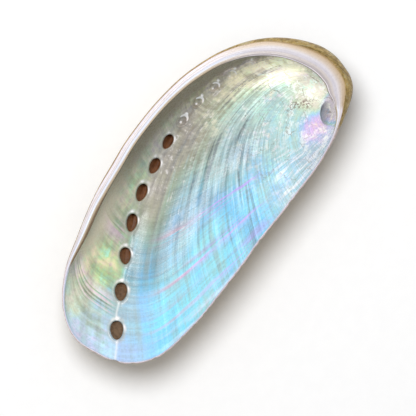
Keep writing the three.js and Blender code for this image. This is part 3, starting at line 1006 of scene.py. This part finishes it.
class Recipe:
    """One material under way. Each method adds nodes and hands back their output."""

    def __init__(self, name, settings):
        self.material = bpy.data.materials.new(name)
        self.material.use_nodes = True
        self.tree = self.material.node_tree
        self.surface = self.tree.nodes["Principled BSDF"]
        for socket, value in settings.items():
            self.surface.inputs[socket].default_value = value

    def feed(self, socket, value):
        if isinstance(value, bpy.types.NodeSocket):
            self.tree.links.new(value, socket)
        else:
            socket.default_value = value

    def node(self, kind, **settings):
        made = self.tree.nodes.new("ShaderNode" + kind)
        for name, value in settings.items():
            setattr(made, name, value)
        return made

    def math(self, operation, *values):
        made = self.node("Math", operation=operation)
        for socket, value in zip(made.inputs, values):
            self.feed(socket, value)
        return made.outputs[0]

    def add(self, first, *others):
        for other in others:
            first = self.math("ADD", first, other)
        return first

    def times(self, first, *others):
        for other in others:
            first = self.math("MULTIPLY", first, other)
        return first

    def total(self, start, *terms):
        """The start, plus each term, whose numbers are multiplied together."""
        return self.add(start, *(self.times(*term) for term in terms))

    def attribute(self, name):
        return self.node("Attribute", attribute_name=name).outputs["Vector"]

    def parts(self, vector):
        made = self.node("SeparateXYZ")
        self.feed(made.inputs[0], vector)
        return made.outputs

    def read(self, name):
        """The three numbers that the mesh stores under a name."""
        return self.parts(self.attribute(name))

    def joined(self, x, y, z):
        made = self.node("CombineXYZ")
        for socket, value in zip(made.inputs, (x, y, z)):
            self.feed(socket, value)
        return made.outputs[0]

    def millimetres(self):
        """The place on the shell, mm."""
        return self.scaled(self.node("TexCoord").outputs["Object"], 1000)

    def scaled(self, vector, scales):
        made = self.node("VectorMath", operation="MULTIPLY")
        self.feed(made.inputs[0], vector)
        made.inputs[1].default_value = scales if isinstance(scales, tuple) else (scales,) * 3
        return made.outputs[0]

    def between(self, value, low, high, to_low=0.0, to_high=1.0):
        """The value's place between low and high, smooth at both ends."""
        made = self.node("MapRange", interpolation_type="SMOOTHSTEP")
        for number, setting in enumerate((value, low, high, to_low, to_high)):
            self.feed(made.inputs[number], setting)
        return made.outputs[0]

    def zone(self, *limits):
        """1 where every value is past its limits, as between() takes them, and fading out to 0."""
        return self.times(*(self.between(*limit) for limit in limits))

    def noise(self, vector, scales, detail=3.0, rough=0.6, spread=0.2):
        """Noise from -1 to 1; scales is its changes per unit of each part of the vector."""
        made = self.node("TexNoise")
        self.feed(made.inputs["Vector"], self.scaled(vector, scales))
        made.inputs["Scale"].default_value = 1.0
        made.inputs["Detail"].default_value = detail
        made.inputs["Roughness"].default_value = rough
        return self.between(made.outputs[0], 0.5 - spread, 0.5 + spread, -1.0, 1.0)

    def cracks(self, vector, width):
        """1 on thin lines between cells, 0 elsewhere."""
        made = self.node("TexVoronoi", feature="DISTANCE_TO_EDGE")
        self.feed(made.inputs["Vector"], vector)
        made.inputs["Scale"].default_value = 1.0
        return self.between(made.outputs[0], 0.0, width, 1.0, 0.0)

    def ramp(self, value, stops):
        made = self.node("ValToRGB")
        elements = made.color_ramp.elements
        while len(elements) < len(stops):
            elements.new(1.0)
        for element, (place, colour) in zip(elements, stops):
            element.position = place
            element.color = srgb(*colour)
        self.feed(made.inputs[0], value)
        return made.outputs[0]

    def peak(self, value, middle, width):
        """1 where the value is at the middle, falling to 0 a width away."""
        off = self.math("ABSOLUTE", self.math("SUBTRACT", value, middle))
        return self.between(off, 0.0, width, 1.0, 0.0)

    def mix(self, factor, first, second):
        """A colour is a socket, or its red, green and blue from 0 to 255."""
        made = self.node("Mix", data_type="RGBA", clamp_factor=True)
        self.feed(made.inputs[0], factor)
        for socket, colour in ((made.inputs[6], first), (made.inputs[7], second)):
            self.feed(socket, srgb(*colour) if isinstance(colour, tuple) else colour)
        return made.outputs[2]

    def tint(self, mask, share, colour):
        """Lays a colour over the surface's, as strongly as the mask times the share."""
        self.colour = self.mix(self.times(mask, share), self.colour, colour)

    def dim(self, lightness):
        made = self.node("VectorMath", operation="SCALE")
        self.feed(made.inputs[0], self.colour)
        self.feed(made.inputs["Scale"], lightness)
        self.colour = made.outputs[0]

    def finish(self, height, depth_mm, roughness):
        self.feed(self.surface.inputs["Base Color"], self.colour)
        self.feed(self.surface.inputs["Roughness"], roughness)
        bump = self.node("Bump")
        bump.inputs["Strength"].default_value = 1.0
        bump.inputs["Distance"].default_value = depth_mm / 1000
        self.feed(bump.inputs["Height"], height)
        self.feed(self.surface.inputs["Normal"], bump.outputs[0])
        return self.material


def pearl_recipe():
    """What the pearl reads from the mesh, and the noises and places that its layers share."""
    r = Recipe("pearl", {"Specular IOR Level": 0.4, "Coat Weight": 0.15, "Coat Roughness": 0.15})
    r.growing, r.place = r.attribute("growth"), r.millimetres()
    r.film, r.strength, r.lightness = r.read("look")
    r.scar, r.reach, r.across = r.read("place")
    r.ridge, r.sealed, r.pit = r.read("relief")
    r.collar, r.gleam, r.lip_width = r.read("pores")
    r.line, r.out, r.stain = r.read("line")
    r.streak = r.noise(r.growing, (26, 26, 3.5))
    r.wire = r.noise(r.growing, (60, 60, 5), 3.0, 0.65)
    r.lines = r.noise(r.growing, (2.5, 2.5, 75), 4.0, 0.7)
    r.broad = r.noise(r.growing, (3, 3, 5), 2.0)
    r.grain = r.noise(r.place, 1.6)
    r.blotch = r.noise(r.place, 0.4, 4.0, 0.6, 0.3)
    r.flake = r.noise(r.place, 0.9, 3.0, 0.65, 0.3)
    r.age = r.parts(r.growing)[2]
    r.wavered_age = r.total(r.age, (r.broad, 0.008))
    r.canal = r.between(r.line, 0.0, -4.0)
    r.old = r.between(r.reach, 17, 7)
    r.brush = r.times(r.lines, r.between(r.reach, 18, 40, 0.03, 0.12))
    return r


def film_colours(r):
    """Silver, with the film's colour as strong as the place asks."""
    bands = r.noise(r.growing, (1.5, 1.5, 16), 2.0)
    hue = r.total(
        r.film, (r.streak, 0.03), (r.broad, 0.04), (bands, 0.03),
        (r.canal, r.blotch, 0.2), (r.old, r.blotch, 0.08),
    )
    swing = r.total(1.0, (r.streak, 0.35), (r.lines, 0.2), (r.broad, 0.15))
    film = r.ramp(hue, FILM_ORDER)
    r.colour = r.mix(r.times(r.strength, swing), r.mix(0.2, (202, 202, 197), film), film)


def ridge_colours(r):
    """The ridges: dark grooves, partly painted shade, and mint or white crests, partly painted
    highlights, in clusters.
    """
    ridged = r.zone((r.line, 5, 14), (r.line, 80, 50), (r.reach, 9, 20), (r.reach, 62, 26, 0.5, 1.0))
    far = r.between(r.reach, 24, 42)
    fold = r.total(r.times(r.streak, 0.55), (r.wire, 0.4), (r.ridge, 0.45))
    clusters = r.between(r.noise(r.growing, (6, 6, 2.5), 2.0), -0.9, 0.3, 0.3, 1.0)
    # Painted shade in the grooves and painted highlights on the crests, over the nacre's own tints.
    groove = r.times(ridged, clusters, r.between(fold, -0.15, -0.7))
    r.tint(groove, 0.62, r.mix(far, (104, 114, 126), (92, 160, 200)))
    crest = r.times(ridged, r.between(fold, 0.15, 0.75))
    r.tint(crest, 0.5, r.mix(far, (226, 242, 234), (190, 232, 252)))


def violet_bands(r):
    """Violet and pink bands of fine growth lines, from near the row to the margin."""
    age = r.wavered_age
    bands = r.total(
        r.peak(age, -0.325, 0.045), (r.peak(age, -0.18, 0.04),), (r.peak(age, -0.07, 0.06), 0.7)
    )
    fine_lines = r.between(r.noise(r.growing, (1.5, 1.5, 90), 2.0, 0.5), 0.0, 0.5)
    centres = r.add(r.peak(age, -0.335, 0.009), r.peak(age, -0.172, 0.009))
    crossing = r.zone((r.line, 3, 16), (r.line, 85, 60))
    band = r.times(crossing, r.add(r.times(bands, fine_lines), r.times(centres, 0.6)))
    r.tint(band, 0.75, r.mix(r.between(r.line, 15, 40), (206, 184, 206), (194, 178, 246)))


def last_growth_lines(r):
    """The last growth lines, pale along the margin, which fan out towards the spire end."""
    margin = r.zone((r.line, 80, 100), (r.age, -0.5, -0.25))
    fan = r.noise(r.growing, (1.2, 1.2, 42))
    r.tint(r.times(margin, r.between(fan, 0.0, 0.6)), 0.8, (230, 232, 240))
    r.tint(r.times(margin, r.between(fan, -0.2, -0.8)), 0.55, (160, 196, 206))
    r.tint(r.times(r.peak(r.age, -0.035, 0.022), r.between(r.line, 70, 95)), 0.6, (158, 184, 255))
    r.tint(r.zone((r.age, -0.06, -0.01), (r.line, 5, 25), (fan, -0.4, 0.4)), 0.6, (226, 222, 246))


def canal_streaks(r):
    """Olive patches in the canal, and pink and dark streaks that curve across it."""
    patches = r.noise(r.growing, (4, 4, 14))
    olive = r.times(r.canal, r.zone((patches, 0.0, -0.8), (r.reach, 30, 42)))
    r.tint(olive, 0.42, (140, 154, 112))
    age = r.wavered_age
    streaked = r.times(r.canal, r.add(r.peak(age, -0.33, 0.05), r.peak(age, -0.13, 0.045), 0.12))
    curved = r.noise(r.growing, (2.5, 2.5, 120), 2.0, 0.5)
    r.tint(r.times(streaked, r.between(curved, 0.1, 0.5)), 0.75, (236, 208, 220))
    r.tint(r.times(streaked, r.between(curved, -0.2, -0.7)), 0.6, (122, 126, 112))


def old_nacre(r):
    """The old nacre round the spire: bright and tinted patches, and pits."""
    bright = r.between(r.total(r.blotch, (r.flake, 0.5)), -0.1, 0.9)
    r.tint(r.times(r.old, bright), 0.6, (255, 255, 248))
    tints = r.ramp(r.between(r.noise(r.place, 0.22, 2.0, 0.5, 0.25), -1, 1), SPIRE_TINTS)
    patchy = r.total(r.flake, (r.lines, 0.3), (r.streak, 0.3))
    tinted = r.zone((r.reach, 32, 14), (r.line, 8, 24), (r.line, 120, 90), (patchy, -0.3, 0.9))
    r.tint(tinted, 0.65, tints)
    scarred = r.total(r.scar, (r.blotch, 0.35))
    pitted = r.zone((scarred, 0.2, 0.7), (r.noise(r.place, 2.0), 0.0, -0.4))
    r.tint(pitted, 0.8, (118, 92, 84))


def fine_cracks(r):
    """Fine wandering cracks round the spire."""
    warped = r.node("VectorMath", operation="ADD")
    r.feed(warped.inputs[0], r.scaled(r.place, 0.2))
    r.feed(warped.inputs[1], r.joined(r.times(r.blotch, 0.12), r.times(r.flake, 0.16), 0.0))
    cracked = r.zone((r.reach, 26, 18), (r.reach, 3, 5), (r.blotch, -0.3, 0.2))
    r.tint(r.times(r.cracks(warped.outputs[0], 0.02), cracked), 0.7, (116, 98, 80))


def brown_film_and_shade(r):
    """A brown film on the wall under the lip, partly painted shade where the lip overhangs the wall."""
    under = r.total(r.between(r.out, 0.78, 1.0), (r.blotch, r.between(r.out, 0.6, 0.9), 0.15))
    there = r.zone((r.lip_width, 1.4, 2.4), (r.lip_width, 4.6, 3.2))
    r.tint(r.times(under, there), 0.6, (122, 98, 70))


def light_and_dark(r):
    """How light the place is, with a little more or less along the streaks and lines, and painted shade
    and light on the ridges' grooves and crests.
    """
    light = r.total(
        # The ridge term is painted light and shade on the ridges.
        1.0, (r.streak, 0.12), (r.brush,), (r.ridge, 0.1), (r.grain, 0.04), (r.canal, r.flake, 0.1)
    )
    r.dim(r.times(r.lightness, light))


def row_mottling(r):
    """Golden brown and cream mottling along the sealed pores."""
    gold = r.zone((r.reach, 40, 30), (r.reach, 8, 14), (r.line, 38, 12), (r.line, -60, -25))
    mottle = r.total(r.noise(r.place, 0.45, 1.5, 0.5, 0.3), (r.flake, 0.25), (r.lines, 0.3))
    r.tint(r.times(gold, r.between(mottle, 0.3, -0.9)), 0.4, (132, 114, 84))
    sparkle = r.zone((mottle, 0.1, 1.1), (r.reach, 34, 20, 0.25, 0.8))
    r.tint(gold, sparkle, (238, 228, 194))


def wall_under_lip(r):
    """Beige under the lip along the canal, paler towards the front, and painted shade on the rounding
    under the lip's edge.
    """
    wall = r.zone((r.line, 0, -8), (r.out, 0.72, 0.94), (r.reach, 12, 24), (r.lip_width, 0.9, 2.0))
    towards_front = r.between(r.parts(r.place)[0], 0, -20)
    r.tint(wall, 0.85, r.mix(towards_front, (150, 134, 110), (230, 212, 184)))
    # Painted shade: brown on the rounding just under the lip's inner edge.
    r.tint(r.between(r.across, 0.02, 0.5), 0.6, (150, 126, 98))


def marks_and_painted_light(r):
    """Painted shade in the spire's pit, painted glints beside the row, the collars with painted
    highlights, and the sealed pores.
    """
    # Painted shade: grey in the deep side of the spire's pit.
    r.tint(r.pit, 0.85, (150, 150, 156))
    # Painted glints: pale spots of light beside the row.
    painted_glints = r.zone(
        (r.line, -1, 3), (r.line, 26, 12), (r.reach, 10, 16), (r.reach, 50, 40),
        (r.flake, 0.1, 0.7), (r.wire, -0.2, 0.5),
    )
    r.tint(painted_glints, 0.6, (236, 230, 228))
    r.tint(r.collar, 0.6, (164, 160, 148))
    # Painted highlight on one side of each collar and along the rib.
    r.tint(r.gleam, 0.9, (252, 248, 247))
    # Painted shade in the sealed pores' dimples.
    r.tint(r.between(r.sealed, 0.0, -0.8), 0.75, (132, 126, 122))
    # Stains, with the sealed pores' brown rings, partly painted shade.
    r.tint(r.between(r.stain, 0.1, 1.0), 1.0, (112, 88, 66))
    # Painted highlights on the sealed pores.
    r.tint(r.between(r.sealed, 0.1, 0.8), 1.0, (255, 250, 248))


PEARL_LAYERS = (
    film_colours, ridge_colours, violet_bands, last_growth_lines, canal_streaks, old_nacre,
    fine_cracks, brown_film_and_shade, light_and_dark, row_mottling, wall_under_lip, marks_and_painted_light,
)


def pearl_material():
    """Mother of pearl: silver with film colours, in streaks from the spire and growth lines."""
    r = pearl_recipe()
    for layer in PEARL_LAYERS:
        layer(r)
    height = r.total(r.times(r.streak, 0.6), (r.brush, 8.0), (r.old, r.flake, 2.0))
    return r.finish(height, 0.014, r.between(r.grain, -1, 1, 0.24, 0.36))


def lip_material():
    """The lip: porcelain white to beige with fine lines along it."""
    r = Recipe("lip", {"Coat Weight": 0.3, "Coat Roughness": 0.15})
    place = r.millimetres()
    width = r.read("pores")[2]
    out = r.math("SUBTRACT", r.read("place")[2], 1.0)
    x, y, _ = r.parts(place)
    along = r.joined(r.times(x, 0.035), r.times(y, 0.035), r.times(out, 5.0))
    lines = r.noise(along, (1, 1, 2), 4.0, 0.7)
    clouds = r.noise(along, (1.5, 1.5, 0.6), 2.0)
    grain = r.noise(place, 2, 4.0, 0.7)
    at = r.total(out, (clouds, 0.03), (r.between(x, -8, -20), -0.2))
    r.colour = r.ramp(at, LIP_NARROW)
    r.tint(r.between(width, 2.7, 3.8), 1.0, r.ramp(at, LIP_WIDE))
    r.tint(r.between(width, 1.3, 0.7), 1.0, r.ramp(at, LIP_THIN))
    r.dim(r.total(1.0, (lines, 0.07), (clouds, 0.03), (grain, 0.03)))
    return r.finish(r.total(lines, (grain, 0.4)), 0.03, r.between(grain, -1, 1, 0.26, 0.4))


def rind_material():
    """The outside: olive and golden brown with cream marks, pale where the thin lip is chipped."""
    r = Recipe("rind", {"Coat Weight": 0.12, "Coat Roughness": 0.25})
    growing, place = r.attribute("growth"), r.millimetres()
    across, width = r.read("place")[2], r.read("pores")[2]
    folds = r.noise(growing, (3, 3, 90), 4.0, 0.7)
    cords = r.noise(growing, (30, 30, 4))
    marks = r.noise(growing, (9, 9, 16))
    mottle = r.noise(place, 0.9, 4.0, 0.65)
    grain = r.noise(place, 4.5, 4.0, 0.75)
    tone = r.total(0.5, (mottle, 0.2), (folds, 0.14), (cords, 0.1), (grain, 0.08))
    r.colour = r.ramp(tone, RIND_TONES)
    r.tint(r.between(marks, 0.35, 0.8), 0.6, (196, 188, 150))
    r.tint(r.between(marks, -0.3, -0.9), 0.4, (88, 84, 40))
    r.tint(r.zone((across, 2.75, 3.0), (width, 2, 3.5)), 0.55, (70, 52, 26))
    pale = r.mix(r.between(grain, -0.8, 0.8), (186, 160, 148), (234, 222, 220))
    r.tint(r.zone((across, 3.0, 2.9), (width, 1.6, 1.0)), 1.0, pale)
    height = r.total(folds, (cords, 0.7), (grain, 0.5))
    return r.finish(height, 0.07, r.between(grain, -1, 1, 0.4, 0.65))


def pore_material():
    """The brown wall of a pore, partly painted shade for the dark hole; duller in the front ones, as
    painted light where more light gets under the shell.
    """
    r = Recipe("pore_wall_and_shade", {})
    grain = r.noise(r.millimetres(), 1.2)
    patchy = r.between(grain, -1, 1)
    r.colour = r.mix(patchy, (88, 48, 16), (108, 64, 28))
    # Painted light: the front pores' walls duller and greyer, where more light gets under the shell.
    front = r.between(r.read("place")[1], 54, 70)
    r.tint(front, 1.0, r.mix(patchy, (84, 62, 40), (106, 82, 58)))
    return r.finish(grain, 0.02, r.between(grain, -1, 1, 0.5, 0.7))


# ---------------------------------------------------------------- the shell
def put_in_scene(name, data):
    made = bpy.data.objects.new(name, data)
    bpy.context.scene.collection.objects.link(made)
    return made


UV_SIZE = 128.0  # mm of laid-out shell across the whole picture
INSIDE_AT, OUTSIDE_AT = np.array([0.466, 0.242]), np.array([0.466, 0.744])


def write_uv(mesh, raw):
    """The inside and the outside laid out side by side in one picture."""
    corners = np.array([v for face in raw.faces for v in face])
    outside = np.repeat(raw.outside, [len(face) for face in raw.faces])
    inside_uv = INSIDE_AT + raw.flat[corners] / UV_SIZE
    outside_uv = OUTSIDE_AT + raw.under[corners] / UV_SIZE
    layer = mesh.uv_layers.new(name="OFBake")
    layer.data.foreach_set("uv", np.where(outside[:, None], outside_uv, inside_uv).ravel())


def renumber(raw):
    """Leaves out the points that no face uses."""
    used = np.unique(np.concatenate([np.array(f) for f in raw.faces]))
    number = np.full(len(raw.points), -1)
    number[used] = np.arange(len(used))
    raw.faces = [tuple(number[list(f)].tolist()) for f in raw.faces]
    for name in ("points", "across", "lip_width", "flat", "under"):
        setattr(raw, name, getattr(raw, name)[used])


def make_shell():
    """Puts the shell onto its CAD node's box, and hands back how many metres its mm became."""
    raw = ShellMesh()
    renumber(raw)
    box_low, box_high = (np.array(corner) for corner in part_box("shell"))
    edge = silhouette(FINE)
    scale = (box_high[0] - box_low[0]) / np.ptp(edge[:, 0])
    middle = (edge.min(0) + edge.max(0)) / 2
    shift = np.array([*middle, raw.points[:, 2].min()])

    mesh = bpy.data.meshes.new("shell_pearl")
    mesh.from_pydata(((raw.points - shift) * scale).tolist(), [], raw.faces)
    mesh.shade_smooth()
    for material in (pearl_material(), lip_material(), rind_material(), pore_material()):
        mesh.materials.append(material)
    mesh.polygons.foreach_set("material_index", raw.kinds)
    write_attributes(mesh, raw)
    write_uv(mesh, raw)
    shell = put_in_scene("shell_pearl", mesh)
    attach(shell, "root")
    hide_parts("shell")
    return scale


scale = make_shell()

# ---------------------------------------------------------------- floor, lights and camera
FLOOR_SIDE = 6.0
KEY_SPOT, KEY_SIZE, KEY_POWER = (0.09, 0.162, 0.571), 0.32, 2.95
KEY_COLOUR = (0.98, 0.995, 1.02)
SKY_COLOUR, SKY_STRENGTH = (1.0, 0.975, 0.94), 0.44
LENS = 300.0  # long, so that the view is nearly square to the table everywhere
VIEW_WIDTH = 97.5  # of the shell's own mm, at VIEW_LEVEL
VIEW_MIDDLE, VIEW_LEVEL, VIEW_TURN = (-0.00159, -0.00481), 0.0145, math.radians(-54)


def floor():
    s = FLOOR_SIDE / 2
    made = bpy.data.meshes.new("floor")
    made.from_pydata([(-s, -s, 0), (s, -s, 0), (s, s, 0), (-s, s, 0)], [], [(0, 1, 2, 3)])
    paper = Recipe("paper", {})
    speck = paper.noise(paper.millimetres(), 0.3)
    paper.colour = paper.between(speck, -1, 1, 0.895, 0.905)
    made.materials.append(paper.finish(speck, 0.001, 0.8))
    put_in_scene("floor", made)


def area_light(name, spot, size, power, colour):
    """A round lamp at a spot, turned towards the origin."""
    data = bpy.data.lights.new(name, "AREA")
    data.shape = "DISK"
    data.size = size
    data.energy = power
    data.color = colour
    lamp = put_in_scene(name, data)
    lamp.location = spot
    lamp.rotation_euler = (-mathutils.Vector(spot)).to_track_quat("-Z", "Y").to_euler()


def surroundings(colour, strength):
    world = bpy.data.worlds.new("studio")
    world.use_nodes = True
    world.node_tree.nodes["Background"].inputs["Color"].default_value = (*colour, 1)
    world.node_tree.nodes["Background"].inputs["Strength"].default_value = strength
    bpy.context.scene.world = world


def camera(lens, view_width, middle, level, turn):
    """Looks straight down. view_width is what it sees at that level."""
    data = bpy.data.cameras.new("camera")
    data.lens = lens
    data.sensor_width = 36
    data.clip_end = 10
    made = put_in_scene("camera", data)
    made.location = (*middle, level + lens / data.sensor_width * view_width)
    made.rotation_euler = (0, 0, turn)
    bpy.context.scene.camera = made


floor()
area_light("key", KEY_SPOT, KEY_SIZE, KEY_POWER, KEY_COLOUR)
surroundings(SKY_COLOUR, SKY_STRENGTH)
camera(LENS, VIEW_WIDTH * scale, VIEW_MIDDLE, VIEW_LEVEL, VIEW_TURN)
bpy.context.scene.view_settings.view_transform = "Standard"
